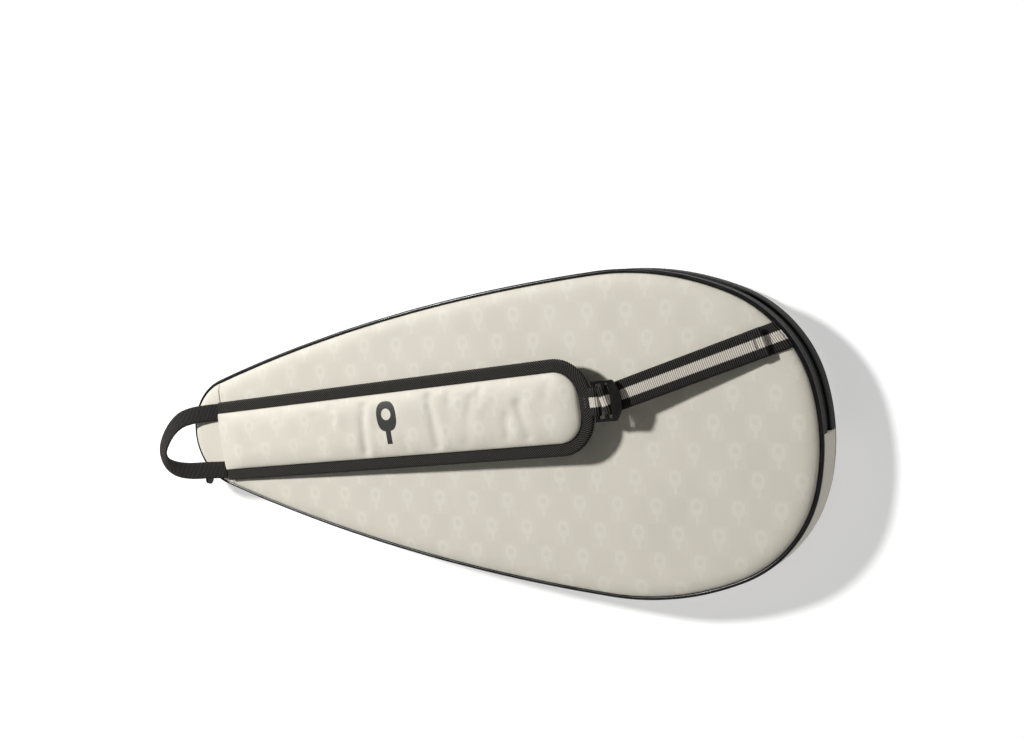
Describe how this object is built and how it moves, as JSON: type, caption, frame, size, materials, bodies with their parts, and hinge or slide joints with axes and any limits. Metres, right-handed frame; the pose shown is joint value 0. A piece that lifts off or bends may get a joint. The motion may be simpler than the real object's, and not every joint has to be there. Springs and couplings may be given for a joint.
{
  "type": "racket sports paddle case",
  "caption": "Padded teardrop case for a racket-sport paddle, with a zip round one side, a fold-open front, an adjustable padded shoulder strap and a grab loop.",
  "frame": {"origin": "middle of the case's footprint, on the surface that its back panel lies on", "axes": "+X from the narrow neck to the wide head, +Y to the side that the zip runs along, +Z out of the front panel, which carries the strap"},
  "size_m": [0.5614, 0.2306, 0.0644],
  "materials": {
    "cream_fabric": "coated fabric with a soft satin face",
    "foam": "matte closed-cell foam",
    "lining": "matte brushed lining",
    "piping": "glossy vinyl cord",
    "black_fabric": "matte woven fabric",
    "zip_tape": "matte woven tape",
    "zip_coil": "satin nylon coil",
    "binding": "matte herringbone tape",
    "slider_metal": "satin black painted metal",
    "moulded_tab": "matte rubber",
    "pad_fabric": "coated fabric with a soft satin face",
    "pad_mesh": "matte spacer mesh",
    "striped_webbing": "ribbed webbing, black with a cream centre stripe",
    "lock_plastic": "satin moulded plastic",
    "black_webbing": "ribbed webbing"
  },
  "bodies": {
    "case_back": {"back_panel": "cream_fabric", "back_foam": "foam", "back_lining": "lining", "back_piping": "piping", "back_seam_binding": "binding", "gusset": "cream_fabric", "gusset_lining": "lining", "zip_strip_back": "black_fabric", "zip_garage_back": "cream_fabric", "zip_facing_back": "black_fabric", "zip_tape_back": "zip_tape", "zip_coil_back": "zip_coil", "front_panel_lower": "cream_fabric", "front_foam_lower": "foam", "front_lining_lower": "lining", "front_piping_lower": "piping", "front_binding_lower": "binding"},
    "front_flap": {"front_panel_flap": "cream_fabric", "neck_cap": "cream_fabric", "front_foam_flap": "foam", "front_lining_flap": "lining", "front_piping_flap": "piping", "front_binding_flap": "binding", "neck_seam_tape": "binding", "zip_strip_front": "black_fabric", "zip_garage_front": "cream_fabric", "zip_facing_front": "black_fabric", "zip_tape_front": "zip_tape", "zip_coil_front": "zip_coil"},
    "zip_slider": {"slider_body": "slider_metal"},
    "zip_pull": {"pull_link": "slider_metal", "pull_tab": "moulded_tab"},
    "shoulder_pad": {"pad_backing": "pad_mesh", "pad_foam": "foam", "pad_face": "pad_fabric", "pad_binding": "binding", "pad_link": "striped_webbing"},
    "ladder_lock": {"ladder_lock": "lock_plastic"},
    "strap_tail": {"strap_tail": "striped_webbing"},
    "strap_main": {"strap_main": "striped_webbing"},
    "grab_loop": {"grab_loop": "black_webbing"}
  },
  "joints": [
    {"name": "flap_fold", "type": "hinge", "parent": "case_back", "child": "front_flap", "pos_m": [-0.201, -0.047, 0.043], "axis": [0.9948, 0.1016, 0], "range_deg": [0, 90]},
    {"name": "slider_travel", "type": "hinge", "parent": "case_back", "child": "zip_slider", "pos_m": [-0.20269, 0, 0.0215], "axis": [0, 0, -1], "range_deg": [0, 70]},
    {"name": "pull_swing", "type": "hinge", "parent": "zip_slider", "child": "zip_pull", "pos_m": [-0.24761, -0.00551, 0.0215], "axis": [0, 0, -1], "range_deg": [-6, 150]},
    {"name": "strap_lift", "type": "hinge", "parent": "front_flap", "child": "shoulder_pad", "pos_m": [-0.2113, -0.0066, 0.0434], "axis": [0.0924, -0.9957, 0], "range_deg": [0, 6]},
    {"name": "lock_tilt", "type": "hinge", "parent": "shoulder_pad", "child": "ladder_lock", "pos_m": [0.13127, 0.02669, 0.05832], "axis": [-0.0924, 0.9957, 0], "range_deg": [0, 11.1]},
    {"name": "web_bend", "type": "hinge", "parent": "ladder_lock", "child": "strap_tail", "pos_m": [0.13824, 0.02733, 0.05832], "axis": [-0.0924, 0.9957, 0], "range_deg": [0, 10.1]},
    {"name": "strap_payout", "type": "slide", "parent": "strap_tail", "child": "strap_main", "axis": [0.9445, 0.316, -0.0898], "range_m": [0, 0.012]},
    {"name": "loop_lift", "type": "hinge", "parent": "front_flap", "child": "grab_loop", "pos_m": [-0.21429, -0.00688, 0.0434], "axis": [-0.0924, 0.9957, 0], "range_deg": [0, 90]}
  ],
  "couplings": [
    {"joint": "lock_tilt", "follows": "strap_lift", "ratio": 1.8333},
    {"joint": "web_bend", "follows": "strap_lift", "ratio": 1.664},
    {"joint": "strap_payout", "follows": "strap_lift", "m_per_rad": 0.1133}
  ]
}
